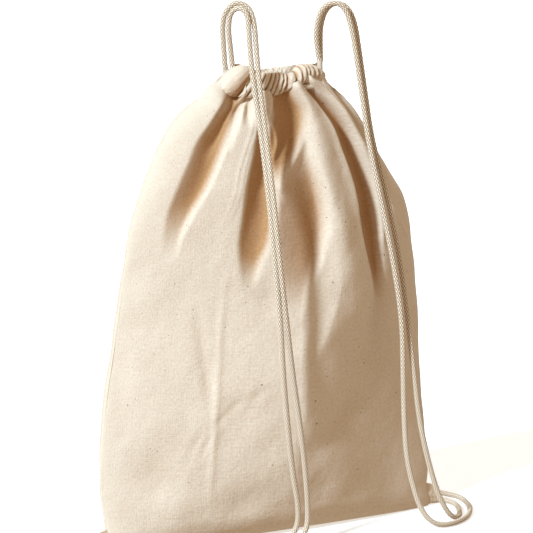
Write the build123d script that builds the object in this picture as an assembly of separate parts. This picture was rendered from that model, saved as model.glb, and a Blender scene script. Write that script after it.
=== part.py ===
from build123d import *
import math
import os

# Drawstring backpack in natural cotton canvas, standing stuffed on its base.
# Frame: origin at the bottom centre on the ground, +X along the width, +Z up.
# The wearer's side, where the two straps hang, faces -Y. All sizes in mm.

# ---- driving dimensions ----
CLOTH_T = 2.5          # wall of the bag: canvas with the filling's first layer
NECK_Z = 402.0         # where the panels end and the casings begin
TOP_Z = 432.0          # top edge of the gathered casings
CORD_D = 5.0           # braided cord
SECTION_POINTS = 17    # points along each half section

# Half width, half depth, centre X and forward set of the seam tips, by height.
BAG_SECTIONS = [
    (0.0, 168.0, 25.0, 0.0, 14.0),
    (10.0, 169.0, 36.0, 0.0, 14.0),
    (24.0, 166.0, 44.0, 1.0, 13.0),
    (42.0, 167.0, 50.0, 1.5, 10.0),
    (60.0, 168.0, 54.0, 2.0, 8.0),
    (90.0, 167.0, 59.0, 2.5, 5.0),
    (120.0, 165.0, 61.0, 3.0, 2.0),
    (155.0, 163.0, 62.0, 3.5, 0.0),
    (190.0, 160.0, 62.0, 4.0, 0.0),
    (220.0, 157.5, 60.5, 4.0, 0.0),
    (250.0, 154.0, 58.0, 4.0, 0.0),
    (276.0, 150.0, 54.5, 3.0, 0.0),
    (300.0, 144.0, 50.0, 2.0, 0.0),
    (322.0, 136.0, 45.5, 0.0, 0.0),
    (340.0, 125.0, 41.0, -1.0, 0.0),
    (357.0, 114.0, 36.5, 0.0, 0.0),
    (372.0, 101.0, 32.0, 1.0, 0.0),
    (388.0, 84.0, 26.5, 5.0, 0.0),
    (NECK_Z, 66.0, 22.0, 9.0, 0.0),
]

CASING_BOTTOM = (132.0, 44.0, 9.0)     # overall length, depth and centre X of the casings' foot
CASING_TOP = (106.0, 38.0, 12.5)       # the same at the top edge
MOUTH_SIZE = (62.0, 15.0)              # what the drawn mouth leaves open
CHANNEL_OUTER = (100.4, 32.4)          # the tunnel that the two cords share
CHANNEL_INNER = (70.0, 19.6)
CHANNEL_Z = (408.0, 425.2)
NECK_X = 12.5                          # centre of the gathered neck
SLIT_HALF = 6.0                        # half the gap between the two casings at each end
UPPER_RUN_Z = 421.0                    # the left cord's level in the casings
LOWER_RUN_Z = 412.0                    # the right cord's level

TAB_Y = -14.0                          # the corner tabs sit at the seam tips
TAB_T = 7.0
TAB_OUTLINE = [(162.0, 0.8), (180.0, 0.8), (182.0, 12.0), (177.0, 22.0), (162.0, 22.0)]
CORD_END_Z = (10.8, 4.3)               # the two cord ends in each tab, one above the other
CORD_END_X = (173.0, 181.5)            # how far the sewn-in ends reach
STITCH_SIZE = (2.8, 0.7, 0.5)
STITCH_PITCH = 4.2
SEAM_ALLOWANCE = 9.0    # raw edges left inside each seam
SEAM_T = 1.2
SEAM_GAP = 0.4         # between the raw edges and the wall, where the cloth turns in

# ---- cord routes ----
# Left strap: up out of the casings' left end, over, down the wearer's side and along
# the ground to the left tab. The inner strand makes the smaller loop at the top.
LEFT_INNER = [
    (-31.5, -2.5, 437), (-33, -3, 454), (-34, -4, 470), (-33.6, -4.4, 486), (-27.5, -10.5, 491.5),
    (-21.4, -16.5, 486), (-21.3, -19, 470), (-22, -23, 449), (-23.6, -31, 421), (-24.8, -47, 374),
    (-25.3, -62, 319), (-24.9, -72, 267), (-21.7, -76, 214), (-20, -78, 164), (-15, -78, 114),
    (-9, -76, 71), (-2, -75, 37), (-2, -73, 17), (-12, -72, 5), (-31, -72, 3), (-65, -71, 3),
    (-104, -66, 3), (-142, -56, 3), (-171, -44, 4.5), (-187, -34, 7), (-195, -25, 10),
    (-193.5, -16, 11.2), (-186, -14, 10.8)]
LEFT_OUTER = [
    (-36.5, 2.5, 437), (-38, 2, 455), (-40, 1, 473), (-39, -2, 488), (-30, -7, 498.5),
    (-17.5, -12.5, 493.5), (-14, -18, 477), (-15, -23, 453), (-17.6, -33, 421), (-19, -48, 374),
    (-19.3, -62, 319), (-18.5, -72, 266), (-14, -76, 213), (-9, -78, 162), (-2, -78, 112),
    (4, -77, 69), (7, -76, 36), (6, -77, 16), (-4, -78, 5), (-24, -79, 3), (-58, -80, 3),
    (-100, -76, 3), (-142, -66, 3), (-176, -53, 3), (-199, -36, 3), (-202, -20, 3.2),
    (-186, -14, 4.1)]
# Right strap: the same on the right, where it curls on the ground beside the corner.
RIGHT_OUTER = [
    (58, -3, 437), (54.5, -3, 447), (53, -5, 466), (57, -8, 483), (67, -12, 488),
    (76, -16, 484), (81, -20, 468), (84, -23, 444), (87, -28, 408), (88, -36, 363),
    (92, -46, 315), (101, -54, 257), (111, -59, 198), (114, -63, 147), (113, -67, 101),
    (114, -71, 65), (120, -76, 34), (125, -82, 15), (136, -88, 4), (154, -88, 3),
    (175, -77, 3), (192, -57, 3), (201, -37, 3.5), (200, -21, 7.5), (186, -14, 10.8)]
RIGHT_INNER = [
    (62, 3, 437), (61, 2, 447), (60, 0, 465), (64, -3, 481), (73, -7, 487), (83, -11, 482),
    (88, -15, 467), (92, -18, 443), (96, -23, 406), (98, -31, 361), (105, -41, 315),
    (113, -49, 258), (120, -56, 199), (126, -61, 148), (130, -65, 103), (136, -69, 67),
    (144, -73, 35), (152, -76, 15), (162, -76, 4), (174, -67, 3), (182, -53, 3),
    (189, -38, 3), (191, -23, 3.5), (186, -14, 4.3)]
# The runs held in the casings: each cord goes once round the neck and both its ends
# turn up out of the slit on its own side.
LEFT_RUN = [
    (-31.5, -2.5, 434), (-33, -4, UPPER_RUN_Z), (-28.5, -12.8, UPPER_RUN_Z),
    (43, -12.8, UPPER_RUN_Z), (51, -5, UPPER_RUN_Z), (51, 5, UPPER_RUN_Z),
    (43, 12.8, UPPER_RUN_Z), (-28.5, 12.8, UPPER_RUN_Z), (-33.5, 4.5, UPPER_RUN_Z),
    (-36.5, 2.5, 434)]
RIGHT_RUN = [
    (58, -3, 434), (58, -4, LOWER_RUN_Z), (52, -12.8, LOWER_RUN_Z), (-25, -12.8, LOWER_RUN_Z),
    (-34, -5, LOWER_RUN_Z), (-34, 5, LOWER_RUN_Z), (-25, 12.8, LOWER_RUN_Z),
    (52, 12.8, LOWER_RUN_Z), (59, 4, LOWER_RUN_Z), (62, 3, 434)]

os.makedirs("parts", exist_ok=True)


def save(node, shape):
    export_step(shape, f"parts/{node}.step")
    print(f"{node}: volume {shape.volume:.0f} mm3")


# ---- panels ----
def half_arc(section, side, inset):
    """Points from the left seam to the right seam along one side of a section."""
    z, half_width, half_depth, centre, tip = section
    points = []
    for i in range(SECTION_POINTS):
        angle = math.pi * (1 - i / (SECTION_POINTS - 1))
        across = (half_width - inset) * math.cos(angle)
        seam_y = -tip * (across / half_width) ** 2
        points.append((centre + across, seam_y + side * (half_depth - inset) * math.sin(angle), z))
    return points


def wall_face(section, side):
    """The band of cloth between the outer and the inner arc of one side."""
    outer = half_arc(section, side, 0)
    inner = half_arc(section, side, CLOTH_T)
    edges = [Edge.make_spline(outer), Edge.make_line(outer[-1], inner[-1]),
             Edge.make_spline(inner[::-1]), Edge.make_line(inner[0], outer[0])]
    return Face(Wire(edges))


def base_face(section, side):
    """One side's half of the underside, closed along the bottom seam."""
    outer = half_arc(section, side, 0)
    seam = half_arc(section[:2] + (0.0,) + section[3:], side, 0)
    return Face(Wire([Edge.make_spline(outer), Edge.make_spline(seam[::-1])]))


def panel(side):
    wall = loft([wall_face(section, side) for section in BAG_SECTIONS], ruled=True)
    base = extrude(base_face(BAG_SECTIONS[0], side), CLOTH_T, dir=(0, 0, 1))
    return wall + base


# ---- casings ----
def slot_face(length, depth, centre, z):
    return Plane((centre, 0, z)) * SlotOverall(length, depth)


def casing(side):
    """One gathered hem: a half ring round the mouth, with the cord tunnel cut through it."""
    foot_length, foot_depth, foot_x = CASING_BOTTOM
    top_length, top_depth, top_x = CASING_TOP
    ring = loft([slot_face(foot_length, foot_depth, foot_x, NECK_Z),
                 slot_face(top_length, top_depth, top_x, TOP_Z)])
    ring -= extrude(slot_face(*MOUTH_SIZE, NECK_X, NECK_Z - 1), TOP_Z - NECK_Z + 2)
    low, high = CHANNEL_Z
    tunnel = extrude(slot_face(*CHANNEL_OUTER, NECK_X, low), high - low)
    tunnel -= extrude(slot_face(*CHANNEL_INNER, NECK_X, low), high - low)
    ring -= tunnel
    reach = 60.0
    keep = Pos(NECK_X, side * (SLIT_HALF + reach / 2), (NECK_Z + TOP_Z) / 2) * Box(200, reach, 40)
    return ring & keep


def casing_stitches(side):
    """The line of stitches that closes the hem, lying on the casing's sloping face."""
    slope = (CASING_BOTTOM[1] - CASING_TOP[1]) / 2 / (TOP_Z - NECK_Z)
    row_z = NECK_Z + 3.5
    face_y = side * (CASING_BOTTOM[1] / 2 - slope * (row_z - NECK_Z))
    lean = math.degrees(math.atan(slope))
    length, height, depth = STITCH_SIZE
    row = []
    count = 18
    for i in range(count):
        x = NECK_X + (i - (count - 1) / 2) * STITCH_PITCH
        stitch = Pos(0, side * depth / 2, 0) * Box(length, depth, height)
        row.append(Pos(x, face_y, row_z) * Rot(side * lean, 0, 0) * stitch)
    return Compound(row)


# ---- seams inside ----
def side_allowance(side):
    """The raw edges of the two panels, turned inside along one side seam."""
    strips = []
    for z, half_width, _, centre, tip in BAG_SECTIONS[2:-1]:
        edge_x = centre + side * (half_width - CLOTH_T - SEAM_GAP)
        middle = (edge_x - side * SEAM_ALLOWANCE / 2, -tip, z)
        strips.append(Plane(middle) * Rectangle(SEAM_ALLOWANCE, SEAM_T))
    return loft(strips, ruled=True)


def bottom_allowance():
    """The raw edges of the bottom seam, standing up inside along the seam's curve."""
    _, half_width, _, centre, tip = BAG_SECTIONS[1]
    reach = half_width - 12
    front, back = [], []
    for i in range(9):
        across = reach * (i / 4 - 1)
        seam_y = -tip * (across / half_width) ** 2
        front.append((centre + across, seam_y - SEAM_T / 2, CLOTH_T))
        back.append((centre + across, seam_y + SEAM_T / 2, CLOTH_T))
    outline = Wire([Edge.make_spline(front), Edge.make_line(front[-1], back[-1]),
                    Edge.make_spline(back[::-1]), Edge.make_line(back[0], front[0])])
    return extrude(Face(outline), SEAM_ALLOWANCE, dir=(0, 0, 1))


# ---- corner tabs ----
def corner_tab(side, panels):
    """A folded strip of canvas in the side seam that grips the two cord ends."""
    outline = [(side * x, z) for x, z in TAB_OUTLINE]
    tab = Pos(0, TAB_Y + TAB_T / 2, 0) * extrude(Plane.XZ * make_face(Polyline(outline, close=True)), TAB_T)
    for shape in panels + cord_ends(side):
        tab -= shape
    return tab.solids().sort_by(SortBy.VOLUME)[-1]


def cord_ends(side):
    """The sewn-in ends of one cord, inside its tab."""
    start, end = CORD_END_X
    return [Pos(side * (start + end) / 2, TAB_Y, z) * Rot(0, 90, 0) * Cylinder(CORD_D / 2, end - start)
            for z in CORD_END_Z]


def tab_stitching(side):
    """A bar of stitches on each face of a tab, just inside its end."""
    x = side * 172.0
    length, width, depth = 2.0, 13.0, 0.6
    return Compound([Pos(x, TAB_Y + face * (TAB_T + depth) / 2, 9) * Box(length, depth, width)
                     for face in (-1, 1)])


def slit_tack(side):
    """A bar of stitches across the side seam, at the foot of the slit between the casings."""
    _, half_width, _, centre, _ = BAG_SECTIONS[-1]
    length, depth, height = 2.2, 9.0, 1.2
    x = centre + side * (half_width - CLOTH_T / 2)
    return Pos(x, 0, NECK_Z + height / 2) * Box(length, depth, height)


# ---- cords ----
def cord_tube(route, name):
    """A round tube along straight runs joined by the largest arcs that the runs allow."""
    points = [Vector(*p) for p in route]
    radii = []
    for before, point, after in zip(points, points[1:], points[2:]):
        arriving, leaving = point - before, after - point
        half_turn = math.radians(arriving.get_angle(leaving)) / 2
        radii.append(0.45 * min(arriving.length, leaving.length) / math.tan(half_turn))
    path = FilletPolyline(*points, radius=radii)
    start = Plane(path @ 0, z_dir=path % 0)
    tube = sweep(start * Circle(CORD_D / 2), path)
    expected = math.pi * CORD_D ** 2 / 4 * path.length
    print(f"{name}: length {path.length:.0f}, least radius {min(radii):.1f}, "
          f"volume {tube.volume / expected:.3f} of section by length")
    return tube


PANELS = {"wearer": panel(-1), "outer": panel(1)}
for name, side in (("wearer", -1), ("outer", 1)):
    save(f"{name}_side_panel", PANELS[name])
    save(f"{name}_side_casing", casing(side))
    save(f"{name}_casing_stitches", casing_stitches(side))

for name, side in (("left", -1), ("right", 1)):
    save(f"{name}_seam_allowance", side_allowance(side))
    save(f"{name}_corner_tab", corner_tab(side, list(PANELS.values())))
    save(f"{name}_tab_stitching", tab_stitching(side))
    save(f"{name}_slit_tack", slit_tack(side))
    save(f"{name}_cord_sewn_ends", Compound(cord_ends(side)))
save("bottom_seam_allowance", bottom_allowance())

CORDS = {
    "left_cord_in_casings": LEFT_RUN,
    "right_cord_in_casings": RIGHT_RUN,
    "left_strap_inner_strand": LEFT_INNER,
    "left_strap_outer_strand": LEFT_OUTER,
    "right_strap_inner_strand": RIGHT_INNER,
    "right_strap_outer_strand": RIGHT_OUTER,
}
for name, route in CORDS.items():
    save(name, cord_tube(route, name))
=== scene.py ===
# %% [markdown]
# # A drawstring backpack in natural cotton canvas
# The bag is two canvas panels sewn up the sides and along the bottom. Each panel ends in a
# hem at the top, and two cords run through the hems, so that pulling them gathers the mouth.
# The cords' ends come down the wearer's side as the straps and are sewn into the corners.
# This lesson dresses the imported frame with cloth, cord and thread.

# %% Load the frame
import math

import bpy
import numpy as np
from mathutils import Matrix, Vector


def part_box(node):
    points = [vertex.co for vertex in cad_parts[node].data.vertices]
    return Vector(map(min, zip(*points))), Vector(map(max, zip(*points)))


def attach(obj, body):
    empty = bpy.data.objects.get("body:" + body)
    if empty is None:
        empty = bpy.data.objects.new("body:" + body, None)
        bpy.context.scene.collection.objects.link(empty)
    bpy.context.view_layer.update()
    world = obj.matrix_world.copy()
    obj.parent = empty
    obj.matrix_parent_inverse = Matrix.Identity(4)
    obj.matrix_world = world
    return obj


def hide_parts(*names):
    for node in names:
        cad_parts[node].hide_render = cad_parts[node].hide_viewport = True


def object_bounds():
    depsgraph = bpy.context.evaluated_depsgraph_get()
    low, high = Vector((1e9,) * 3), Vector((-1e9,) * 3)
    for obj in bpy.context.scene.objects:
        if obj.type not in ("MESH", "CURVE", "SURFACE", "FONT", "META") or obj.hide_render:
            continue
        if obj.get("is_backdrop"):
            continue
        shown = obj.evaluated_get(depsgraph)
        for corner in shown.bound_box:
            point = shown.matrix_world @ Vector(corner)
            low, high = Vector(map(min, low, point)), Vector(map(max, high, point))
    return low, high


MM = 0.001
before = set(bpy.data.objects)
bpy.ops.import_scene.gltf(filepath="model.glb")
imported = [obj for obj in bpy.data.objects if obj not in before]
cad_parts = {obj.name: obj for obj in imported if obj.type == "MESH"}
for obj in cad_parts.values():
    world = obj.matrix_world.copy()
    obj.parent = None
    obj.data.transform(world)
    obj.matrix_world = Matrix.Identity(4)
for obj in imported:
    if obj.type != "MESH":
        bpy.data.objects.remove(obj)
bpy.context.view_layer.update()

# %% [markdown]
# ## The view and the light
# The camera stands far off with a long lens, so the bag's sides stay nearly parallel, a little
# to its left and a little above. A key light from the left, whose shadows have a soft edge,
# models the folds. A warm dim sky fills them, and a weak wide light from behind gives the far
# side an edge.

# %% The camera
LOOK_AT = Vector((0.0045, 0.0, 0.246))
VIEW_AZIMUTH, VIEW_ELEVATION = math.radians(-28), math.radians(12.3)
VIEW_DISTANCE = 3.4


def direction(azimuth, elevation):
    """The way from the bag to something that stands at that azimuth and elevation."""
    return Vector((math.sin(azimuth) * math.cos(elevation),
                   -math.cos(azimuth) * math.cos(elevation), math.sin(elevation)))


away = direction(VIEW_AZIMUTH, VIEW_ELEVATION)
bpy.ops.object.camera_add(location=LOOK_AT + VIEW_DISTANCE * away)
camera = bpy.context.object
camera.rotation_euler = (-away).to_track_quat("-Z", "Y").to_euler()
camera.data.sensor_width = 36
camera.data.lens = 250.3
camera.data.clip_end = 50
bpy.context.scene.camera = camera
print("the camera looks at", LOOK_AT[:])

# %% Floor, sky and lights
bpy.ops.mesh.primitive_plane_add(size=12)
floor = bpy.context.object
floor.name = "floor"
floor.visible_diffuse = False                # the floor doesn't throw its own light back
floor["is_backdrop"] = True


def far_light(name, azimuth, elevation, spread, power, colour):
    """A light so far off that it is even everywhere; its spread makes the shadows soft."""
    way = direction(math.radians(azimuth), math.radians(elevation))
    bpy.ops.object.light_add(type="SUN", location=LOOK_AT + 2 * way)
    light = bpy.context.object
    light.name = name
    light.rotation_euler = (-way).to_track_quat("-Z", "Y").to_euler()
    light.data.angle = math.radians(spread)
    light.data.energy = power
    light.data.color = colour


far_light("key_light", -69, 36, 7, 4.5, (0.70, 0.86, 1.01))
far_light("back_light", 140, 30, 30, 0.9, (0.93, 0.96, 1.0))

world = bpy.data.worlds.new("studio")
bpy.context.scene.world = world
world.use_nodes = True
sky = world.node_tree
sky.nodes["Background"].inputs["Color"].default_value = (1.0, 0.77, 0.56, 1)
sky.nodes["Background"].inputs["Strength"].default_value = 0.50
seen = sky.nodes.new("ShaderNodeBackground")
seen.inputs["Color"].default_value = (1, 1, 1, 1)
ray = sky.nodes.new("ShaderNodeLightPath")
choose = sky.nodes.new("ShaderNodeMixShader")
sky.links.new(ray.outputs["Is Camera Ray"], choose.inputs["Fac"])
sky.links.new(sky.nodes["Background"].outputs[0], choose.inputs[1])
sky.links.new(seen.outputs[0], choose.inputs[2])
sky.links.new(choose.outputs[0], sky.nodes["World Output"].inputs["Surface"])
bpy.context.scene.view_settings.view_transform = "Standard"

# %% [markdown]
# ## Shader arithmetic
# A material is easier to read as a formula than as a wall of nodes. The class below wraps one
# output socket, and each operator on it adds the Math node that does the sum.

# %% A value that adds its own nodes
class Value:
    def __init__(self, tree, socket):
        self.tree, self.socket = tree, socket

    def math(self, operation, *values):
        return add_node(self.tree, "ShaderNodeMath", {"operation": operation}, dict(enumerate(values)))

    def __add__(self, other):
        return self.math("ADD", self, other)

    def __sub__(self, other):
        return self.math("SUBTRACT", self, other)

    def __mul__(self, other):
        return self.math("MULTIPLY", self, other)

    def __gt__(self, other):
        return self.math("GREATER_THAN", self, other)

    def __lt__(self, other):
        return self.math("LESS_THAN", self, other)

    __radd__, __rmul__ = __add__, __mul__


def add_node(tree, kind, settings=None, inputs=None, output=0):
    """Adds a node: its settings first, then the values or links of its sockets."""
    node = tree.nodes.new(kind)
    for name, setting in (settings or {}).items():
        setattr(node, name, setting)
    for name, value in (inputs or {}).items():
        if isinstance(value, Value):
            tree.links.new(value.socket, node.inputs[name])
        else:
            node.inputs[name].default_value = value
    return Value(tree, node.outputs[output])


def mix_colours(tree, factor, first, second):
    """The Mix node's colour sockets are its inputs 6 and 7, and its colour output is 2."""
    return add_node(tree, "ShaderNodeMix", {"data_type": "RGBA"}, {0: factor, 6: first, 7: second}, 2)


def new_material(name):
    material = bpy.data.materials.new(name)
    material.use_nodes = True
    return material, material.node_tree, material.node_tree.nodes["Principled BSDF"]


def feed(shader, tree, colour, roughness, height, bump_strength, bump_distance):
    """Links what varies over the surface to the shader."""
    tree.links.new(colour.socket, shader.inputs["Base Color"])
    tree.links.new(roughness.socket, shader.inputs["Roughness"])
    bump = add_node(tree, "ShaderNodeBump", None,
                    {"Strength": bump_strength, "Distance": bump_distance, "Height": height})
    tree.links.new(bump.socket, shader.inputs["Normal"])


# %% [markdown]
# ### Pale floor
# White board with the faintest tooth. It glows a little, so that it comes out white.

# %% The floor's material
material, tree, shader = new_material("white_board")
place = add_node(tree, "ShaderNodeTexCoord", output=3)
grain = add_node(tree, "ShaderNodeTexNoise", None, {"Vector": place, "Scale": 60.0})
white = mix_colours(tree, grain, (0.78, 0.90, 0.97, 1), (0.80, 0.93, 1.0, 1))
feed(shader, tree, white, 0.75 + 0.1 * grain, grain, 0.05, 0.0005)
shader.inputs["Emission Color"].default_value = (1, 1, 1, 1)
shader.inputs["Emission Strength"].default_value = 0.48
floor.data.materials.append(material)

# %% [markdown]
# ### Unbleached canvas
# Natural cotton keeps bits of seed, so small brown flecks lie in it. Its threads are uneven:
# a thick stretch of thread, a slub, stands proud and a little darker. All of it follows the
# cloth's own map, in metres, so it bends with the folds. Shade is painted into the folds: an
# attribute says how deep in a fold each point lies, and there the cream is painted a darker,
# warmer brown, for the shade and for the light that bounces about inside the fold.

# %% The canvas
CREAM = (0.83, 0.73, 0.60, 1)
CREAM_DARK = (0.73, 0.61, 0.465, 1)
# painted shade: the dark brown that the folds are painted with
FOLD_PAINTED_SHADE = (0.46, 0.25, 0.105, 1)
SEED = (0.16, 0.09, 0.045, 1)


def stretched_noise(tree, cloth, across, along, detail=2.0):
    """Noise with that many blotches to the metre each way of the cloth."""
    scaled = add_node(tree, "ShaderNodeMapping", None, {"Vector": cloth, "Scale": (across, along, 1)})
    return add_node(tree, "ShaderNodeTexNoise", None, {"Vector": scaled, "Scale": 1.0, "Detail": detail})


def flecks(tree, cloth, cells, radius, share):
    """Dots of that radius, in a share of that many cells to the metre."""
    settings = {"feature": "F1"}
    inputs = {"Vector": cloth, "Scale": cells, "Randomness": 1.0}
    far = add_node(tree, "ShaderNodeTexVoronoi", settings, inputs, 0)
    shade = add_node(tree, "ShaderNodeTexVoronoi", settings, inputs, 1)
    lot = add_node(tree, "ShaderNodeSeparateColor", None, {0: shade}, 0)
    return (far < radius * cells) * (lot < share)


def canvas_material(name):
    material, tree, shader = new_material(name)
    cloth = add_node(tree, "ShaderNodeUVMap", {"uv_map": "cloth"})
    warp = stretched_noise(tree, cloth, 1700, 45)
    weft = stretched_noise(tree, cloth, 40, 1500)
    grain = stretched_noise(tree, cloth, 900, 900, 4.0)
    speckle = stretched_noise(tree, cloth, 420, 420, 3.0)
    mottle = stretched_noise(tree, cloth, 26, 18, 3.0)
    painted_shade = add_node(tree, "ShaderNodeAttribute", {"attribute_name": "painted_shade"}, None, 2)
    threads = 0.5 * warp + 0.5 * weft
    cream = mix_colours(tree, 1.2 * threads + 0.5 * mottle + 2.4 * speckle - 1.65, CREAM, CREAM_DARK)
    # painted shade: deep in the folds the cream turns to the painted fold shade
    cream = mix_colours(tree, painted_shade * (0.75 + 0.45 * speckle), cream, FOLD_PAINTED_SHADE)
    dots = flecks(tree, cloth, 80.0, 0.0008, 0.4) + flecks(tree, cloth, 150.0, 0.0005, 0.4)
    colour = mix_colours(tree, dots * 0.75, cream, SEED)
    height = 0.4 * warp + 0.4 * weft + 0.4 * grain + 0.6 * speckle
    feed(shader, tree, colour, 0.82 + 0.14 * grain, height, 0.55, 0.0009)
    shader.inputs["Sheen Weight"].default_value = 0.12
    shader.inputs["Sheen Roughness"].default_value = 0.6
    shader.inputs["Specular IOR Level"].default_value = 0.25
    return material


canvas = canvas_material("natural_canvas")

# %% [markdown]
# ### Braided cord and sewing thread
# The cord is the same unbleached cotton. The braid is real geometry, and an attribute says
# how high each point stands, so that shade is painted dark into the gaps between the strands.

# %% Cord and thread
def cord_material(name, light, dark):
    material, tree, shader = new_material(name)
    place = add_node(tree, "ShaderNodeTexCoord", output=3)
    raised = add_node(tree, "ShaderNodeAttribute", {"attribute_name": "raised"}, None, 2)
    fibres = add_node(tree, "ShaderNodeTexNoise", None, {"Vector": place, "Scale": 1600.0, "Detail": 3.0})
    drift = add_node(tree, "ShaderNodeTexNoise", None, {"Vector": place, "Scale": 35.0})
    # painted shade: the low points of the braid are painted dark
    colour = mix_colours(tree, (2.6 * raised - 0.8) * (0.85 + 0.3 * fibres), dark, light)
    colour = mix_colours(tree, 0.15 * drift, colour, CREAM_DARK)
    feed(shader, tree, colour, 0.75 + 0.2 * fibres, fibres, 0.4, 0.0004)
    shader.inputs["Specular IOR Level"].default_value = 0.25
    return material


# the second colour is the shade painted into the braid's gaps
braided = cord_material("braided_cotton", (0.96, 0.85, 0.69, 1), (0.22, 0.14, 0.07, 1))


def plain_material(name, light, dark, scale):
    """Cotton without a map of its own: for thread and for the cord that hides in the casings."""
    material, tree, shader = new_material(name)
    place = add_node(tree, "ShaderNodeTexCoord", output=3)
    fibres = add_node(tree, "ShaderNodeTexNoise", None, {"Vector": place, "Scale": scale, "Detail": 4.0})
    colour = mix_colours(tree, fibres, light, dark)
    feed(shader, tree, colour, 0.7 + 0.25 * fibres, fibres, 0.5, 0.0003)
    return material


thread = plain_material("cotton_thread", (0.82, 0.74, 0.6, 1), (0.6, 0.48, 0.33, 1), 2500.0)
hidden_cord = plain_material("cord_in_the_hem", (0.8, 0.72, 0.6, 1), (0.5, 0.4, 0.28, 1), 1200.0)

# %% [markdown]
# ## The cords
# Each strap is one cord's two ends, which hang side by side. A route is a short list of
# places, in millimetres, and a NURBS curve smooths it. The braid is then wound round that
# smooth line: twelve strands, six each way, which pass over and under one another.

# %% The four strands' routes
LEFT_INNER = [
    (-31.5, -2.5, 433), (-34.2, -3, 454), (-36.0, -3, 468), (-35.2, -4.4, 484), (-28.5, -10.5, 490),
    (-23.4, -16.5, 484), (-23.6, -19, 470), (-24.3, -23, 449), (-25, -31, 421), (-24.9, -47, 374),
    (-25.3, -62, 319), (-24.9, -72, 267), (-21.7, -76, 214), (-20, -78, 164), (-15, -78, 114),
    (-9, -76, 71), (-2, -75, 37), (-2, -73, 17), (-12, -72, 5), (-31, -72, 3), (-65, -71, 3),
    (-104, -66, 3), (-142, -56, 3), (-171, -44, 4.5), (-187, -34, 7), (-195, -25, 10),
    (-193.5, -16, 11.2), (-183, -14, 10.8)]
LEFT_OUTER = [
    (-36.5, 2.5, 433), (-38.5, 2, 455), (-40, 1, 471), (-39.2, -2, 485), (-31, -7, 494.5),
    (-20.3, -12.5, 490), (-17.4, -18, 477), (-18.2, -23, 453), (-20.2, -33, 421), (-21.5, -49, 374),
    (-22.3, -65, 319), (-21.6, -75, 266), (-16.5, -78, 213), (-10, -78, 162), (-2, -78, 112),
    (4, -77, 69), (7, -76, 36), (6, -77, 16), (-4, -78, 5), (-24, -79, 3), (-58, -80, 3),
    (-100, -76, 3), (-142, -66, 3), (-176, -53, 3), (-199, -36, 3), (-202, -20, 3.2),
    (-183, -14, 4.1)]
RIGHT_OUTER = [
    (58, -3, 433), (54.5, -3, 447), (53, -5, 466), (57, -8, 483), (67, -12, 488),
    (76, -16, 484), (81, -20, 468), (84, -23, 444), (87.5, -28, 408), (90, -37, 363),
    (96, -48, 315), (105, -57, 257), (113, -62, 198), (114, -63, 147), (113, -67, 101),
    (114, -71, 65), (120, -76, 34), (125, -82, 15), (136, -88, 4), (154, -88, 3),
    (175, -77, 3), (192, -57, 3), (201, -37, 3.5), (200, -21, 7.5), (183, -14, 10.8)]
RIGHT_INNER = [
    (62, 3, 433), (61, 2, 447), (60, 0, 465), (64, -3, 481), (73, -7, 487), (83, -11, 482),
    (88, -15, 467), (90.5, -18, 443), (94, -23, 406), (97, -31, 361), (106, -42, 315),
    (115, -51, 258), (121, -57, 199), (126, -61, 148), (130, -65, 103), (136, -69, 67),
    (144, -73, 35), (152, -76, 15), (162, -76, 4), (174, -67, 3), (182, -53, 3),
    (189, -38, 3), (191, -23, 3.5), (183, -14, 4.3)]

# %% A smooth line through a route
def smooth_line(route, step):
    """Points a step apart on the NURBS curve that has the route as its control points."""
    curve = bpy.data.curves.new("route", "CURVE")
    curve.dimensions = "3D"
    spline = curve.splines.new("NURBS")
    spline.points.add(len(route) - 1)
    for point, place in zip(spline.points, route):
        point.co = (*(MM * x for x in place), 1)
    spline.order_u = 3
    spline.use_endpoint_u = True
    spline.resolution_u = 16
    holder = bpy.data.objects.new("route", curve)
    mesh = bpy.data.meshes.new_from_object(holder)
    line = np.array([v.co[:] for v in mesh.vertices])
    bpy.data.objects.remove(holder)
    bpy.data.meshes.remove(mesh)
    bpy.data.curves.remove(curve)
    along = np.concatenate([[0], np.cumsum(np.linalg.norm(np.diff(line, axis=0), axis=1))])
    at = np.linspace(0, along[-1], int(along[-1] / step) + 1)
    return np.stack([np.interp(at, along, line[:, k]) for k in range(3)], axis=1), along[-1]


# %% Winding the braid
def carried_frames(line):
    """Two directions square to the line at each point, carried along it without twisting."""
    forward = np.gradient(line, axis=0)
    forward /= np.linalg.norm(forward, axis=1)[:, None]
    side = np.cross(forward[0], (0.3, 0.9, 0.1))
    sides = []
    for way in forward:
        side = side - way * (side @ way)
        side /= np.linalg.norm(side)
        sides.append(side)
    sides = np.array(sides)
    return sides, np.cross(forward, sides)


def mesh_object(name, points, faces):
    mesh = bpy.data.meshes.new(name)
    mesh.from_pydata(points.tolist(), [], faces)
    piece = bpy.data.objects.new(name, mesh)
    bpy.context.scene.collection.objects.link(piece)
    mesh.polygons.foreach_set("use_smooth", np.ones(len(mesh.polygons), bool))
    return piece


def point_attribute(piece, name, values):
    attribute = piece.data.attributes.new(name, "FLOAT", "POINT")
    attribute.data.foreach_set("value", np.asarray(values, np.float32).ravel())


CORD_RADIUS = 2.5 * MM
STRANDS_EACH_WAY = 6
STRAND_PITCH = 2.0 * MM     # along the cord, from one crossing to the next
ROUND = 32                   # points round the cord
RINGS_TO_A_PITCH = 5
SKIN_LOW, SKIN_RISE = 0.80, 0.28    # shares of the radius: in a gap, and from there to a strand's top
PATH_STEP = 6


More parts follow.
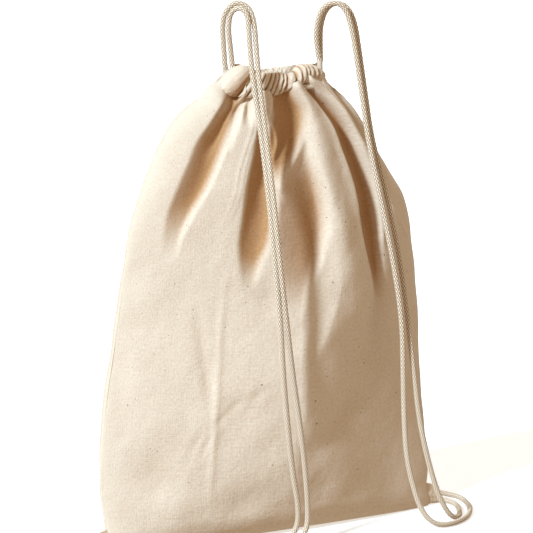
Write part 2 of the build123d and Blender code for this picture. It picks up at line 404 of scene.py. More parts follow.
def braid(name, route):
    """A braided cord along a route, as a tube whose skin rises and falls with the strands."""
    line, length = smooth_line(route, STRAND_PITCH / RINGS_TO_A_PITCH)
    sides, ups = carried_frames(line)
    turn = np.linspace(0, 2 * math.pi, ROUND, endpoint=False)[None, :]
    along = np.linspace(0, length, len(line))[:, None] / STRAND_PITCH
    one_way = STRANDS_EACH_WAY * turn / (2 * math.pi) + along / 2
    other_way = STRANDS_EACH_WAY * turn / (2 * math.pi) - along / 2
    raised = np.abs(np.sin(math.pi * one_way)) * np.abs(np.sin(math.pi * other_way))
    over = (np.floor(one_way) + np.floor(other_way)) % 2
    raised = np.sqrt(raised) * (0.8 + 0.2 * over)
    radius = CORD_RADIUS * (SKIN_LOW + SKIN_RISE * raised)
    ring = (sides[:, None] * (np.cos(turn) * radius)[..., None]
            + ups[:, None] * (np.sin(turn) * radius)[..., None])
    points = (line[:, None] + ring).reshape(-1, 3)
    faces = []
    for i in range(len(line) - 1):
        a, b = i * ROUND, (i + 1) * ROUND
        faces += [(a + j, a + (j + 1) % ROUND, b + (j + 1) % ROUND, b + j) for j in range(ROUND)]
    last = len(line) - 1
    faces += [tuple(range(ROUND))[::-1], tuple(last * ROUND + j for j in range(ROUND))]
    piece = mesh_object(name, points, faces)
    point_attribute(piece, "raised", raised)
    piece.data.materials.append(braided)
    print(name, "is", round(length, 3), "m long in", len(piece.data.polygons), "faces")
    return piece, line[::PATH_STEP], length


# %% The four strands
STRANDS = {
    "left_inner": (LEFT_INNER, "left_strap", "left_strap_inner_strand"),
    "left_outer": (LEFT_OUTER, "left_strap", "left_strap_outer_strand"),
    "right_outer": (RIGHT_OUTER, "right_strap", "right_strap_outer_strand"),
    "right_inner": (RIGHT_INNER, "right_strap", "right_strap_inner_strand"),
}
for name, (route, body, node) in STRANDS.items():
    strand, path, length = braid(name + "_cord", route)
    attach(strand, body)
    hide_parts(node)

# %% [markdown]
# ## The cloth of the bag
# A stuffed sack is a loft: at each height its outline is a flat oval, closed at the seams.
# The table gives the oval's half width, half depth, middle and how far the seam leans
# forward, and a smooth curve joins them. On the wearer's side the oval has a blunt ridge, and
# two more rows say where it lies and how round it is. Each panel starts as a flat grid, one
# vertex for every millimetre or two of cloth, and its vertices are moved onto their half of
# the loft. Every list is in millimetres.

# %% The bag's outline by height
HEIGHTS = [0, 7, 18, 32, 60, 120, 190, 250, 300, 340, 370, 395, 415, 434]
HALF_WIDTHS = [169, 169, 168, 169.5, 170, 165.5, 158, 150, 139.5, 120, 104.5, 86, 60, 47]
HALF_DEPTHS = [24, 34, 42, 47, 54, 61, 62, 58, 50, 41, 32, 25, 20, 17]
MIDDLES = [2, 2, 1, 1.5, 1, 2.5, 7, 9, 8.5, 3, 1.5, 2, 6, 12.5]
SEAM_LEANS = [14, 14, 13.5, 12, 8, 2, 0, 0, 0, 0, 0, 0, 0, 0]
RIDGE_HEIGHTS = [0, 60, 120, 170, 196, 225, 266, 300, 331, 362, 384, 403, 434]
RIDGE_PLACES = [4, 6, 12, 22, 36, 48, 46, 38, 28, 16, 8, 4, 4]
ROUNDNESS = [1.7, 1.3, 1.24, 1.24, 1.26, 1.28, 1.32, 1.42, 1.6, 1.8, 2, 2, 2]


def through(places, values, at):
    """A smooth curve through the values, which levels off past both ends."""
    places, values = np.asarray(places, float), np.asarray(values, float)
    slopes = np.gradient(values, places)
    at = np.clip(at, places[0], places[-1])
    i = np.clip(np.searchsorted(places, at) - 1, 0, len(places) - 2)
    span = places[i + 1] - places[i]
    t = (at - places[i]) / span
    return (values[i] * (1 + 2 * t) * (1 - t) ** 2 + values[i + 1] * t ** 2 * (3 - 2 * t)
            + slopes[i] * span * t * (1 - t) ** 2 - slopes[i + 1] * span * t ** 2 * (1 - t))


def on_loft(across, height, side, inset=0.0):
    """The place on the loft: across runs from -1 at the left seam to 1 at the right."""
    half = through(HEIGHTS, HALF_WIDTHS, height) - inset
    deep = through(HEIGHTS, HALF_DEPTHS, height) - inset
    middle = through(HEIGHTS, MIDDLES, height)
    shift = np.sin(across * math.pi / 2)
    x = middle + half * shift
    if side < 0:
        ridge = through(RIDGE_HEIGHTS, RIDGE_PLACES, height)
        power = through(RIDGE_HEIGHTS, ROUNDNESS, height)
        reach = np.where(x < ridge, ridge - middle + half, middle + half - ridge)
        bulge = np.clip(1 - np.clip(np.abs(x - ridge) / reach, 0, 1) ** power, 0, 1) ** (1 / power)
    else:
        bulge = np.cos(across * math.pi / 2)
    return x, side * deep * bulge - through(HEIGHTS, SEAM_LEANS, height) * shift ** 2


# %% [markdown]
# ### Folds
# A fold is a valley between two lips. Both lips are curves that run down the cloth, so a fold
# is a few rows: a height, the left lip, the right lip and the depth there. Where the floor of
# the valley lies between the lips decides which wall is steep: a steep wall on the left is
# a lip that overhangs its own shadow. A ridge is a fold with a negative depth.

# %% Shaping a fold
def fold(x, z, rows, deepest=0.7, left_power=1.0, right_power=1.0):
    """How much the cloth goes in at each point, from rows of height, left lip, right lip, depth."""
    heights, lefts, rights, depths = np.array(sorted(rows), float).T
    left, right = through(heights, lefts, z), through(heights, rights, z)
    depth = np.interp(z, heights, depths, left=0, right=depths[-1])
    t = (x - left) / np.maximum(right - left, 0.5)
    falling = np.clip(t / deepest, 0, 1) ** left_power
    rising = np.clip((1 - t) / (1 - deepest), 0, 1) ** right_power
    share = np.minimum(falling, rising)
    return depth * share * share * (3 - 2 * share)


def shaded_fold_floor(x, z, rows, full=7.0):
    """Where the floor of a fold lies, from 0 to 1, for the shade painted there: only light from other cloth
    gets there.
    """
    heights, lefts, rights, depths = np.array(sorted(rows), float).T
    left, right = through(heights, lefts, z), through(heights, rights, z)
    t = (x - left) / np.maximum(right - left, 0.5)
    depth = np.interp(z, heights, depths, left=0, right=depths[-1])
    share = np.clip(np.minimum(t / 0.14, (1 - t) / 0.32), 0, 1) * np.clip(depth / full, 0, 1)
    return share * share * (3 - 2 * share)


def line_fold(x, z, rows, width):
    """A narrow crease or tuck along rows of height, x, depth."""
    heights, middles, depths = np.array(sorted(rows), float).T
    depth = np.interp(z, heights, depths, left=0, right=0)
    return depth * np.exp(-((x - through(heights, middles, z)) / width) ** 2)


def dent(x, z, at_x, at_z, wide, tall, depth, lean=0.0):
    """A soft dip, or with a negative depth a swelling; lean tips it to the right."""
    dx = x - at_x - lean * (z - at_z)
    return depth * np.exp(-(dx / wide) ** 2 - ((z - at_z) / tall) ** 2)


# %% The folds on the wearer's side
LOBE_VALLEY = [
    (440, -44, -24, 9.1), (408, -48, -27, 10.5), (391, -62, -36, 11.9), (370, -79, -46, 11.9),
    (357, -85, -53, 10.5), (332, -97, -66, 8.4), (306, -107, -82, 4.9), (286, -110, -92, 2.1),
    (266, -112, -96, 0)]
LEFT_VALLEY = [
    (395, -18, -10, 0), (380, -20, -8, 5), (362, -25, -6, 8.7), (333, -35, -5, 11.8),
    (302, -41, -6, 10.5), (279, -45, -12, 7.4), (257, -44, -22, 3.7), (236, -40, -30, 0)]
UPPER_VALLEY = [
    (440, -4, 17, 6), (408, -4, 26, 8.2), (394, -6, 36, 9.8), (380, -9, 34, 9), (365, -13, 26, 7.5),
    (347, -17, 12, 5.2), (331, -18, 0, 2.2), (318, -18, -8, 0)]
MIDDLE_VALLEY = [
    (376, 18, 30, 0), (355, 10, 34, 2.8), (333, -2, 41, 6.3), (310, -8, 45, 9.1),
    (289, -12, 44, 9.1), (262, -13, 36, 7), (238, -9, 24, 4.2), (206, 0, 14, 0)]
RIGHT_VALLEY = [
    (440, 30, 38, 4.9), (415, 32, 43, 6.3), (397, 47, 63, 9.1), (377, 60, 79, 10.5),
    (354, 68, 91, 11.9), (317, 77, 105, 12.6), (290, 80, 108, 11.9), (272, 82, 108, 10.5),
    (253, 86, 108, 7.7), (234, 90, 109, 4.2), (206, 100, 112, 0)]


def wearer_folds(x, z):
    """How deep each point of the wearer's panel lies, in millimetres, and how much shade is painted on it."""
    # the valley under the hem's left bulge, the tucks beside it and a double line of stress
    total = fold(x, z, LOBE_VALLEY, deepest=0.74, left_power=0.8)
    total += line_fold(x, z, [(440, -14, -4), (417, -24, -5), (407, -32, -5), (390, -43, -5), (373, -51, -4),
                              (361, -59, -2), (345, -68, 0)], 4.5)
    total += line_fold(x, z, [(412, -23, 8), (401, -32, 8), (388, -39, 6), (373, -46, 3), (362, -50, 0)], 3.0)
    total += line_fold(x, z, [(440, -18, 8), (410, -21, 8), (399, -24, 7), (391, -26, 4), (382, -27, 0)], 4.5)
    for shift in (0, 4.5):
        total += line_fold(x, z, [(392, -22 + shift, 0), (380, -25 + shift, -0.9), (363, -33 + shift, -0.9),
                                  (346, -40 + shift, -0.9), (321, -47 + shift, -0.8),
                                  (303, -55 + shift, -0.5), (290, -63 + shift, 0)], 1.3)
    # the two valleys in the middle of the gathers, with the frilled edge between them
    total += fold(x, z, LEFT_VALLEY, deepest=0.62, left_power=0.6)
    total += line_fold(x, z, [(420, -8, -6), (405, -5, -6), (394, -8, -5), (385, -10, 0)], 4.0)
    total += fold(x, z, UPPER_VALLEY, deepest=0.58, left_power=0.7)
    total += line_fold(x, z, [(412, 2, -3), (400, 1, -4), (389, -3, -4), (378, 0, -4), (368, 0, -4),
                              (358, -4, -3), (348, -9, 0)], 1.6)
    # the long ridge to their right, and a short one that crosses the valley
    total += fold(x, z, [(440, 14, 34, -5), (416, 16, 34, -6), (403, 22, 44, -5), (384, 26, 56, -4),
                         (362, 24, 60, -5), (331, 26, 68, -5), (299, 34, 74, -5), (266, 36, 84, -4),
                         (232, 42, 96, -2), (205, 60, 104, 0)], deepest=0.42)
    total += fold(x, z, [(380, 18, 34, 0), (368, 12, 34, -1.5), (351, 0, 24, -2.5), (331, -14, 8, -2),
                         (318, -20, -4, 0)], deepest=0.5)
    total += line_fold(x, z, [(332, -15, 0), (329, -13, 2), (325, -8, 2.5), (320, -5, 2), (314, -1, 0)], 1.4)
    # the valleys that carry on down the middle and down the right side
    total += fold(x, z, MIDDLE_VALLEY, deepest=0.75, left_power=0.8)
    total += fold(x, z, RIGHT_VALLEY, deepest=0.78, left_power=0.5)
    total += line_fold(x, z, [(440, 32, -3), (419, 42, -4), (406, 58, -4), (394, 69, -4), (366, 87, -3.5),
                              (338, 101, -3), (315, 110, -1.5), (300, 113, 0)], 3.4)
    total += fold(x, z, [(440, 52, 66, 4), (412, 64, 76, 6), (392, 76, 92, 7), (373, 88, 104, 7),
                         (349, 98, 116, 6), (325, 108, 124, 4), (296, 114, 128, 0)], deepest=0.6)
    total += line_fold(x, z, [(315, 108, 0), (309, 115, -1.6), (290, 127, -1.8), (265, 146, -1.2),
                              (258, 150, 0)], 1.8)
    # the long pressed crease, and the small creases round it
    total += line_fold(x, z, [(262, -53, 0), (214, -61, -0.9), (178, -65, -1.1), (141, -68, -1.2),
                              (103, -71, -1.3), (65, -73, -1.0), (40, -75, 0)], 2.6)
    total += line_fold(x, z, [(230, -83, 0), (190, -80, 1.2), (150, -76, 1.6), (120, -73, 0)], 5.0)
    total += line_fold(x, z, [(142, -44, 0), (132, -52, 0.9), (118, -66, 0.8), (104, -80, 0)], 5.0)
    total += line_fold(x, z, [(150, -22, 0), (140, -32, 0.8), (130, -41, 0)], 5.0)
    total += line_fold(x, z, [(116, -78, 0), (100, -86, 0.8), (86, -92, 0.5), (70, -98, 0)], 4.0)
    total += line_fold(x, z, [(112, -70, 0), (96, -78, 1.0), (80, -86, 0)], 2.2)
    total += fold(x, z, [(268, 98, 112, 0), (250, 92, 114, 2), (225, 84, 118, 3), (190, 76, 124, 2.4),
                         (150, 74, 122, 1.5), (110, 80, 118, 0)], deepest=0.5)
    # soft hollows and swellings, and the line just above the bottom seam
    total += dent(x, z, -54, 414, 9, 15, -5, -0.4)
    total += dent(x, z, -18, 228, 16, 16, 2.5, -0.6) + dent(x, z, 34, 150, 26, 44, -2.5)
    total += dent(x, z, -125, 70, 26, 34, 2.2, 0.3) + dent(x, z, -105, 40, 18, 16, -2.0)
    total += dent(x, z, 70, 60, 40, 22, -2.5) + dent(x, z, 60, 110, 22, 26, 2.4, 0.5)
    total += dent(x, z, -150, 150, 12, 60, 1.6) + dent(x, z, -40, 40, 34, 14, 2.2)
    total += line_fold(z, x, [(20, 5.5, 0), (50, 6, -0.9), (100, 6, -1.1), (145, 6, -0.6), (160, 6, 0)], 1.5)
    # painted shade: the floors of the deep valleys are painted darker, each by its own share
    painted_fold_shade = np.maximum.reduce([
        0.75 * shaded_fold_floor(x, z, LOBE_VALLEY), 1.0 * shaded_fold_floor(x, z, LEFT_VALLEY),
        1.0 * shaded_fold_floor(x, z, UPPER_VALLEY), 0.6 * shaded_fold_floor(x, z, MIDDLE_VALLEY),
        0.95 * shaded_fold_floor(x, z, RIGHT_VALLEY)])
    return total, painted_fold_shade


# %% The folds on the outer side
def outer_folds(x, z):
    """The same for the outer panel: valleys from the gathers down, each with its own reach."""
    reaches = [(-60, -118, 318, 9), (-44, -92, 286, 11), (-31, -58, 322, 8), (-18, -38, 262, 11),
               (-5, -12, 330, 8), (8, 10, 274, 11), (22, 38, 316, 8), (35, 62, 258, 11),
               (48, 92, 306, 9), (62, 120, 280, 8)]
    total = np.zeros_like(x)
    for top_x, low_x, low_z, depth in reaches:
        middle_x, middle_z = 0.45 * top_x + 0.55 * low_x, 0.5 * (low_z + 408)
        total += fold(x, z, [(440, top_x - 5, top_x + 5, depth * 0.8), (408, top_x - 6, top_x + 6, depth),
                             (middle_z, middle_x - 10, middle_x + 9, depth * 0.8),
                             (low_z, low_x - 9, low_x + 8, 0)], deepest=0.45)
    total += dent(x, z, -50, 200, 40, 60, 2.5, 0.3) + dent(x, z, 60, 150, 34, 50, -3)
    total += dent(x, z, 20, 70, 60, 22, 2.5) + dent(x, z, -110, 110, 22, 50, -2, -0.2)
    total += line_fold(x, z, [(250, 55, 0), (200, 62, -1.2), (120, 66, -1.3), (50, 68, 0)], 2.6)
    total += line_fold(x, z, [(170, -70, 0), (150, -58, 1.6), (130, -48, 0)], 4.0)
    # painted shade: the deeper a fold, the more shade is painted in it
    return total, 0.5 * np.clip(total / 14, 0, 1)


# %% [markdown]
# ### From a flat grid to the panel
# The grid's rows start at the bottom seam, run out under the bag, round the bottom edge and
# up to the hem. Random ripples, the same ones each time, keep any stretch from being too
# smooth. The depth of the folds, less its own average round about, says how deep a point
# lies, and the canvas paints shade there, as a darker and warmer tone.

# %% Helpers for grids
def select_only(piece):
    bpy.ops.object.select_all(action="DESELECT")
    piece.select_set(True)
    bpy.context.view_layer.objects.active = piece


def cloth_grid(name, columns, rows):
    """A flat grid with its map named cloth; its vertices run along one row after another."""
    bpy.ops.object.select_all(action="DESELECT")
    bpy.ops.mesh.primitive_grid_add(x_subdivisions=columns, y_subdivisions=rows, size=2)
    piece = bpy.context.object
    piece.name = name
    piece.data.uv_layers[0].name = "cloth"
    return piece


def lay_cloth(piece, points, cloth):
    """Moves the grid's vertices to their places, and its map to the cloth's own sizes."""
    mesh = piece.data
    mesh.vertices.foreach_set("co", (points * MM).ravel())
    corner = np.zeros(len(mesh.loops), np.int32)
    mesh.loops.foreach_get("vertex_index", corner)
    mesh.uv_layers["cloth"].data.foreach_set("uv", (cloth[corner] * MM).astype(np.float32).ravel())
    mesh.polygons.foreach_set("use_smooth", np.ones(len(mesh.polygons), bool))
    mesh.update()


def blurred(values, times, reach=1):
    """Averages each point of a grid with those a reach away, in both directions."""
    for _ in range(times):
        padded = np.pad(values, reach, mode="edge")
        n = 2 * reach
        rows, columns = values.shape
        values = (padded[reach:reach + rows, :columns] + padded[reach:reach + rows, n:]
                  + padded[:rows, reach:reach + columns] + padded[n:, reach:reach + columns]
                  + 2 * values) / 6
    return values


def ripples(x, z, seed, size, count=24):
    """A sum of waves in random directions, about a size apart."""
    dice = np.random.default_rng(seed)
    total = np.zeros_like(x)
    for _ in range(count):
        way, start = dice.uniform(0, math.pi), dice.uniform(0, 2 * math.pi)
        pitch = size * dice.uniform(0.7, 1.6)
        total += np.sin(2 * math.pi * (x * math.cos(way) + z * math.sin(way)) / pitch + start)
    return total / math.sqrt(count)


# %% The two panels
COLUMNS, BASE_ROWS, WALL_ROWS = 300, 14, 262
CLOTH_WIDTH, CLOTH_HEIGHT = 380.0, 430.0      # one panel as it was cut, below its hem
FOOT = 0.6                                    # the lowest cloth, above the ground
OUTER_FOOT = [(-80, 405), (-40, 407), (0, 405), (40, 408), (80, 406)]
CASING_FOOT = [(-75, 431), (-56, 428), (-49, 421), (-43, 414), (-36, 410.5), (-25, 408), (-10, 406.5),
               (5, 406.5), (18, 410), (32, 414), (54, 416), (80, 408)]
SHOULDER_PLACES = [-80, -54, -44, -34, 64, 75, 90]      # beside the hem's ends the panels reach higher
WEARER_SHOULDERS = [433, 430, 424, 404, 404, 426, 433]
OUTER_SHOULDERS = [433, 428, 404, 404, 404, 428, 433]
PANEL_OVERLAP = 6                             # how far a panel runs up inside its hem
TUCK_RISE, TUCK_IN = 7, 3.0                   # its top edge turns in, over that height, by that much


def panel(name, side, folds, seed):
    columns, rows = COLUMNS, BASE_ROWS + WALL_ROWS
    piece = cloth_grid(name, columns, rows)
    across, row = np.meshgrid(np.linspace(-1, 1, columns + 1), np.arange(rows + 1))
    climb = np.clip((row - BASE_ROWS) / WALL_ROWS, 0, 1)
    rough_x, _ = on_loft(across, np.full_like(across, 400.0), side)
    top = through(*np.array(CASING_FOOT if side < 0 else OUTER_FOOT, float).T, rough_x) + PANEL_OVERLAP
    shoulders = WEARER_SHOULDERS if side < 0 else OUTER_SHOULDERS
    top = np.maximum(top, through(SHOULDER_PLACES, shoulders, rough_x))
    height = FOOT + (top - FOOT) * climb ** 0.92
    x, y = on_loft(across, height, side)
    out = np.clip(row / BASE_ROWS, 0, 1)
    seam_y = -14.0 * np.sin(across * math.pi / 2) ** 2
    y = np.where(row < BASE_ROWS, seam_y + (y - seam_y) * np.sqrt(1 - (1 - out) ** 2), y)
    points = np.stack([x, y, height], axis=-1)
    normal = np.cross(np.gradient(points, axis=1), np.gradient(points, axis=0))
    normal *= side * -1.0
    normal /= np.maximum(np.linalg.norm(normal, axis=-1), 1e-9)[..., None]
    depth, painted_fold_shade = folds(x, height)
    depth = blurred(depth, 2)
    near_seam = np.clip((1 - np.abs(across)) / 0.06, 0, 1)
    near_foot = np.clip((height - 4) / 18, 0, 1)
    depth = np.minimum(depth * near_seam * near_foot, 5 + 0.5 * np.clip(top - height, 0, 60))
    waves = 0.4 * ripples(x, height, seed, 46) + 0.08 * ripples(x, height, seed + 1, 13)
    depth -= waves * near_seam * near_foot
    depth += 2.2 * np.exp(-((1 - np.abs(across)) / 0.012) ** 2) * (row > BASE_ROWS)
    points -= normal * depth[..., None]
    tuck = np.clip((height - top + TUCK_RISE) / TUCK_RISE, 0, 1) ** 2
    tuck = tuck * np.clip((1 - np.abs(across)) / 0.3, 0, 1)
    points[..., 1] -= side * TUCK_IN * tuck
    if side < 0:                              # room at the left exit for the cord that swings
        clear = 4.0 * np.exp(-((points[..., 0] + 32) / 12) ** 2) * np.clip((height - 395) / 10, 0, 1)
        points[..., 1] = np.where(climb > 0.5, np.minimum(points[..., 1], -clear), points[..., 1])
    points[..., 2] = np.maximum(points[..., 2], FOOT)
    # painted shade: points deeper than the cloth round about, and the floors of the valleys
    painted_shade = 0.35 * np.clip((depth - blurred(depth, 24, 8)) / 6.0, 0, 1) + blurred(painted_fold_shade, 2)
    cloth = np.stack([across * CLOTH_WIDTH / 2, row / rows * CLOTH_HEIGHT + 1000 * (side > 0)], axis=-1)
    lay_cloth(piece, points.reshape(-1, 3), cloth.reshape(-1, 2))
    point_attribute(piece, "painted_shade", np.clip(painted_shade, 0, 1))
    piece.data.materials.append(canvas)
    select_only(piece)
    bpy.ops.object.mode_set(mode="EDIT")
    bpy.ops.mesh.select_all(action="SELECT")
    bpy.ops.mesh.normals_make_consistent(inside=False)
    bpy.ops.object.mode_set(mode="OBJECT")
    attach(piece, "bag")
    print(name, "has", len(piece.data.polygons), "faces")
    return piece


wearer_panel = panel("wearer_panel", -1, wearer_folds, 11)
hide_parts("wearer_side_panel")
outer_panel = panel("outer_panel", 1, outer_folds, 23)
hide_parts("outer_side_panel")

# %% [markdown]
# ## The gathered hems
# Each hem is a flat tube of doubled cloth that has been pushed together along the cords, so
# it stands in narrow pleats with deep creases between them. It starts as a grid too: its
# columns go round the tube and its rows along the mouth. The creases are a list of places
# along the mouth, and the cloth puffs out between each two. At its left end the wearer's hem
# swells into a bulge, and leaves room for the cord that comes out there.

# %% A pleated tube
ROUND_HEM, ALONG_HEM = 44, 420
HEM_THICK = 6.4                              # half the puffed tube's thickness
LEFT_EXIT_X, EXIT_WIDE, EXIT_ROOM = -30, 14, 3.8
LEAST_ROOM = 1.2                             # from any hem to the plane between the two


def pleats(x, creases, seed):
    """From 0 in a crease to 1 on top of a pleat, and how bold each pleat is."""
    creases = np.array(creases, float)
    dice = np.random.default_rng(seed)
    boldness = dice.uniform(0.7, 1.15, len(creases))
    i = np.clip(np.searchsorted(creases, x) - 1, 0, len(creases) - 2)
    width = creases[i + 1] - creases[i]
    t = np.clip((x - creases[i]) / width, 0, 1)
    return np.sin(math.pi * t) ** 0.5, boldness[i] * np.clip(width / 6.5, 0.75, 1.5)


def hem(name, side, creases, foot, crest, seed, lean, lobe=None):
    piece = cloth_grid(name, ROUND_HEM, ALONG_HEM)
    turn, along = np.meshgrid(np.linspace(0, 2 * math.pi, ROUND_HEM + 1),
                              np.linspace(-0.93, 0.955, ALONG_HEM + 1))
    middle_x, _ = on_loft(along, np.full_like(along, 420.0), side)
    low = through(*np.array(foot, float).T, middle_x)
    high = through(*np.array(crest, float).T, middle_x)
    rise = -np.cos(turn)                      # -1 at the foot, 1 at the crest
    outward = np.sin(turn)                    # 1 on the outside, -1 within the mouth
    height = (low + high) / 2 + rise * (high - low) / 2
    leaning = middle_x + lean * (height - (low + high) / 2)
    puff, bold = pleats(leaning, creases, seed)
    swell = (5.0 * bold * (puff - 0.62)) * np.clip(0.35 + 0.65 * outward + 0.3 * rise, 0, 1)
    if lobe:
        lobe_left, lobe_right, lobe_out = lobe
        grown = np.clip((leaning - lobe_left) / 20, 0, 1) * np.clip((lobe_right - leaning) / 4, 0, 1) ** 0.5
        swell += lobe_out * grown * np.clip(outward + 0.2, 0, 1)
    height += 1.1 * (puff - 0.6) * np.clip(rise, 0, 1)
    x, y = on_loft(along, height, side, 7.0)
    flat_x, flat_y = on_loft(along, height, side, 8.0)
    normal = np.stack([x - flat_x, y - flat_y], axis=-1)
    normal /= np.maximum(np.linalg.norm(normal, axis=-1), 1e-9)[..., None]
    merging = np.clip((middle_x + 66) / 28, 0, 1) if side < 0 else 1.0
    merging = merging * merging * (3 - 2 * merging)
    reach = outward * HEM_THICK * (0.3 + 0.7 * merging) + swell * merging
    reach += 0.35 * ripples(leaning * 2, height * 2, seed, 9)
    x, y = x + normal[..., 0] * reach, y + normal[..., 1] * reach
    x = x + lean * (height - (low + high) / 2) * 0.35
    exit_room = EXIT_ROOM * np.exp(-((x - LEFT_EXIT_X) / EXIT_WIDE) ** 2) if side < 0 else 0.0
    clear = LEAST_ROOM + exit_room
    y = np.where(side * y < clear, side * clear, y)
    points = np.stack([x, y, height], axis=-1)
    cloth = np.stack([along * CLOTH_WIDTH / 2, 440 + 30 * rise + 1000 * (side > 0)], axis=-1)
    lay_cloth(piece, points.reshape(-1, 3), cloth.reshape(-1, 2))
    # painted shade: the creases between the pleats are painted dark on the outside
    point_attribute(piece, "painted_shade", np.clip((0.9 - puff) * 2.3, 0, 1) * (outward > -0.2))
    piece.data.materials.append(canvas)
    select_only(piece)
    bpy.ops.object.mode_set(mode="EDIT")
    bpy.ops.mesh.select_all(action="SELECT")
    bpy.ops.mesh.remove_doubles(threshold=0.00002)
    bpy.ops.mesh.normals_make_consistent(inside=False)
    bpy.ops.object.mode_set(mode="OBJECT")
    solid = piece.modifiers.new("thickness", "SOLIDIFY")
    solid.thickness = 0.7 * MM
    solid.offset = -1
    bpy.ops.object.modifier_apply(modifier="thickness")
    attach(piece, "bag")
    print(name, "has", len(piece.data.polygons), "faces")
    return piece, points, normal


WEARER_CREASES = [-80, -23.5, -16, -10, -3, 2, 6.5, 12, 16, 27, 33, 39, 43, 49, 54, 60, 66, 80]
WEARER_CREST = [(-60, 430), (-48, 434.5), (-36, 435.5), (-27, 433), (-19, 429), (-8, 428), (10, 427),
                (28, 426.5), (36, 431), (50, 432), (60, 429), (70, 426)]
wearer_hem, wearer_hem_points, wearer_hem_normals = hem(
    "wearer_hem", -1, WEARER_CREASES, CASING_FOOT, WEARER_CREST, 5, -0.28, (-54, -24.5, 5.0))
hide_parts("wearer_side_casing")

dice = np.random.default_rng(3)
OUTER_CREASES = np.cumsum(dice.uniform(4.5, 9.5, 24)) - 84
OUTER_CREST = [(-60, 429), (-40, 432), (-20, 428), (0, 427), (20, 428), (40, 429), (60, 430)]
outer_hem, outer_hem_points, outer_hem_normals = hem(
    "outer_hem", 1, OUTER_CREASES, OUTER_FOOT, OUTER_CREST, 8, 0.2)
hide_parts("outer_side_casing")

# %% [markdown]
# ## Stitches, seams and tabs
# A stitch is a short fat thread that sinks at both ends. Each row's stitch is a small sphere,
# drawn out and bent down at its ends, and it is copied along the row.

# %% One stitch, and rows of them
def stitch_mesh(length, radius):
    """A thread from one hole to the next, as points along X, and its faces."""
    bpy.ops.object.select_all(action="DESELECT")
    bpy.ops.mesh.primitive_uv_sphere_add(segments=8, ring_count=6, radius=1)
    piece = bpy.context.object
    bpy.ops.object.mode_set(mode="EDIT")
    bpy.ops.mesh.select_all(action="SELECT")
    bpy.ops.transform.resize(value=(radius, radius, length / 2))
    bpy.ops.object.mode_set(mode="OBJECT")
    points = np.array([v.co[:] for v in piece.data.vertices])[:, [2, 0, 1]]
    faces = [tuple(p.vertices) for p in piece.data.polygons]
    bpy.data.objects.remove(piece)
    points[:, 2] -= (points[:, 0] / length * 2) ** 2 * radius * 0.9
    return points, faces


def stitch_row(name, places, alongs, outs, length, radius, node):
    """Stitches at those places, each lying along its own direction on its own face."""
    points, faces = stitch_mesh(length, radius)
    all_points, all_faces = [], []
    for place, along, out in zip(places, alongs, outs):
        along = along / np.linalg.norm(along)
        out = out - along * (out @ along)
        out /= np.linalg.norm(out)
        turned = points @ np.array([along, np.cross(out, along), out])
        all_faces += [tuple(i + len(points) * len(all_points) for i in f) for f in faces]
        all_points.append(turned + place)
    piece = mesh_object(name, np.concatenate(all_points) * MM, all_faces)
    piece.data.materials.append(thread)
    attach(piece, "bag")
    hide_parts(node)
    print(name, "has", len(all_points), "stitches")


def hem_stitches(name, points, normals, node):
    """The row that closes a hem, just above its foot on the outside."""
    column = ROUND_HEM // 7
    row = points[:, column]
    steps = range(6, len(row) - 6, 5)
    places = [row[i] for i in steps]
    alongs = [row[i + 2] - row[i - 2] for i in steps]
    outs = [np.cross(row[i + 2] - row[i - 2], points[i, column + 1] - points[i, column - 1]) for i in steps]
    outs = [o * np.sign(o[:2] @ normals[i, column]) for o, i in zip(outs, steps)]
    stitch_row(name, places, alongs, outs, 1.5, 0.26, node)


hem_stitches("wearer_hem_stitches", wearer_hem_points, wearer_hem_normals, "wearer_casing_stitches")
hem_stitches("outer_hem_stitches", outer_hem_points, outer_hem_normals, "outer_casing_stitches")

# %% The bar at the foot of each slit
SLIT_FOOT, BAR_THREADS, BAR_PITCH = 404.0, 6, 0.55
for name, side in (("left", -1), ("right", 1)):
    x, _ = on_loft(np.array([float(side)]), np.array([405.0]), -1)
    heights = [SLIT_FOOT + BAR_PITCH * i for i in range(BAR_THREADS)]
    places = [np.array([x[0] + side * 0.2 - side * 1.1 * (h - SLIT_FOOT), 0.0, h]) for h in heights]
    stitch_row(f"{name}_slit_bar", places, [np.array([0.0, 1.0, 0.0])] * BAR_THREADS,
               [np.array([float(side), 0.0, 0.4])] * BAR_THREADS, 7.0, 0.35, f"{name}_slit_tack")

# %% [markdown]
# ### Raw edges inside
# The panels are sewn with their edges turned in. Inside each seam two layers of raw cloth
# stand together as a narrow strip, a little wavy along its free edge.

# %% The strips inside the seams
def side_strip(name, side, node):
    columns, rows = 6, 90
    piece = cloth_grid(name, columns, rows)
    inward, height = np.meshgrid(np.linspace(0.8, 9.8, columns + 1), np.linspace(14, 396, rows + 1))
    half = through(HEIGHTS, HALF_WIDTHS, height) - 2.4 - inward
    x = through(HEIGHTS, MIDDLES, height) + side * half
    y = -through(HEIGHTS, SEAM_LEANS, height) + 0.12 * inward * np.sin(height / 9.0)
    points = np.stack([x, y, height], axis=-1)
    cloth = np.stack([inward + 2000, height], axis=-1)
    finish_strip(piece, points, cloth, node)


def bottom_strip(name, node):
    columns, rows = 6, 90
    piece = cloth_grid(name, columns, rows)
    height, across = np.meshgrid(np.linspace(2.0, 11.0, columns + 1), np.linspace(-0.93, 0.93, rows + 1))
    x = 4 + 167 * across
    y = -14.0 * across ** 2 + 0.1 * (height - 2) * np.sin(x / 9.0)
    points = np.stack([x, y, height], axis=-1)
    cloth = np.stack([height + 2100, x], axis=-1)
    finish_strip(piece, points, cloth, node)


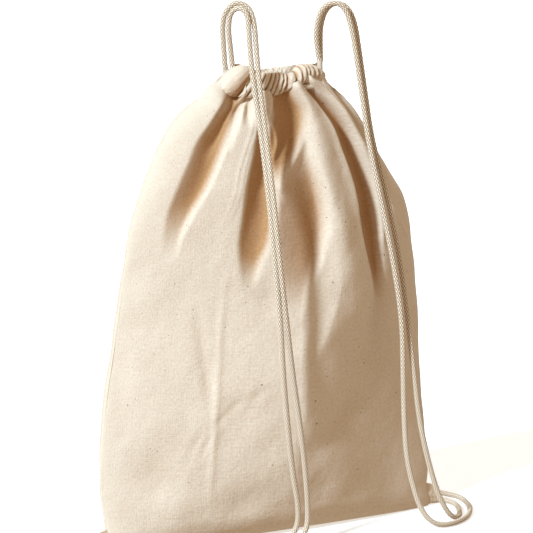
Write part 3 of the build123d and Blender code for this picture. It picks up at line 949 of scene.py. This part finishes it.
def finish_strip(piece, points, cloth, node):
    lay_cloth(piece, points.reshape(-1, 3), cloth.reshape(-1, 2))
    # painted shade: the strips inside the seams are painted a little darker all over
    point_attribute(piece, "painted_shade", np.full(len(piece.data.vertices), 0.2))
    piece.data.materials.append(canvas)
    select_only(piece)
    solid = piece.modifiers.new("thickness", "SOLIDIFY")
    solid.thickness = 1.0 * MM
    solid.offset = 0
    bpy.ops.object.modifier_apply(modifier="thickness")
    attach(piece, "bag")
    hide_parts(node)


side_strip("left_seam_edges", -1, "left_seam_allowance")
side_strip("right_seam_edges", 1, "right_seam_allowance")
bottom_strip("bottom_seam_edges", "bottom_seam_allowance")

# %% [markdown]
# ### Corner tabs
# At each bottom corner a short strip of canvas is folded over the two cord ends and sewn into
# the side seam. The tab starts as a cube: it is cut into slices, pinched where it enters the
# seam, swollen over the two cords and rounded by a subdivision surface.

# %% A folded tab
TAB_CORDS, TAB_CORD_WIDE = (0.0108, 0.0042), 0.0026     # the two cord ends' heights, in metres


def corner_tab(name, side, node):
    low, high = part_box(node)
    middle, size = (low + high) / 2, high - low
    bpy.ops.object.select_all(action="DESELECT")
    bpy.ops.mesh.primitive_cube_add(size=1, location=middle)
    piece = bpy.context.object
    piece.name = name
    bpy.ops.object.mode_set(mode="EDIT")
    bpy.ops.mesh.select_all(action="SELECT")
    bpy.ops.transform.resize(value=(size.x * 1.05, 2.2 * MM, size.z), center_override=middle)
    bpy.ops.mesh.subdivide(number_cuts=9)
    bpy.ops.object.mode_set(mode="OBJECT")
    bpy.ops.object.transform_apply(location=True, rotation=True, scale=True)
    points = np.array([v.co[:] for v in piece.data.vertices])
    out = side * (points[:, 0] - middle.x) / size.x + 0.5
    rise = (points[:, 2] - low.z) / size.z
    cords = sum(np.exp(-((points[:, 2] - at) / TAB_CORD_WIDE) ** 2) for at in TAB_CORDS)
    thick = 1.0 + 1.9 * np.clip(cords, 0, 1) * np.clip(out * 1.6, 0, 1)
    points[:, 1] = middle.y + (points[:, 1] - middle.y) * thick
    points[:, 2] = low.z + size.z * (0.02 + rise * (1.0 - 0.26 * np.clip(out, 0, 1) ** 1.5))
    points[:, 1] += 0.0006 * np.sin(rise * 7 + out * 3)
    piece.data.vertices.foreach_set("co", points.ravel())
    smooth = piece.modifiers.new("smooth", "SUBSURF")
    smooth.levels = smooth.render_levels = 2
    select_only(piece)
    bpy.ops.object.modifier_apply(modifier="smooth")
    bpy.ops.object.shade_smooth()
    while piece.data.uv_layers:
        piece.data.uv_layers.remove(piece.data.uv_layers[0])
    uv = piece.data.uv_layers.new(name="cloth")
    uv.data.foreach_set("uv", np.array([
        (piece.data.vertices[loop.vertex_index].co.x, piece.data.vertices[loop.vertex_index].co.z)
        for loop in piece.data.loops], np.float32).ravel())
    # painted shade: the tab is painted a little darker all over, as it stands in shade
    point_attribute(piece, "painted_shade", np.full(len(piece.data.vertices), 0.25))
    piece.data.materials.append(canvas)
    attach(piece, "bag")
    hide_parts(node)
    print(name, "has", len(piece.data.polygons), "faces")


for name, side in (("left", -1), ("right", 1)):
    corner_tab(f"{name}_tab", side, f"{name}_corner_tab")
    low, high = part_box(f"{name}_tab_stitching")
    x, front, back = (low.x + high.x) / 2 / MM, low.y / MM + 0.9, high.y / MM - 0.9
    heights = [2.6 + 1.7 * i for i in range(8)]
    faces_of_tab = [(front, -1.0), (back, 1.0)]
    places = [np.array([x + 0.4 * (i % 2), y, h]) for y, _ in faces_of_tab for i, h in enumerate(heights)]
    outs = [np.array([0.0, out, 0.0]) for _, out in faces_of_tab for _ in heights]
    stitch_row(f"{name}_tab_stitches", places, [np.array([0.35, 0.0, 1.0])] * len(places), outs, 2.0, 0.3,
               f"{name}_tab_stitching")

# %% [markdown]
# ## The frame's own cord
# The runs inside the hems and the ends inside the tabs keep their CAD shape: they only need
# the cord's finish.

# %% Finishes for the nodes that stay
for name in ("left_cord_in_casings", "right_cord_in_casings", "left_cord_sewn_ends", "right_cord_sewn_ends"):
    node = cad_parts[name]
    node.data.materials.clear()
    node.data.materials.append(hidden_cord)

# %% [markdown]
# ## Sizes

# %% Measure the sizes
low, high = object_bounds()
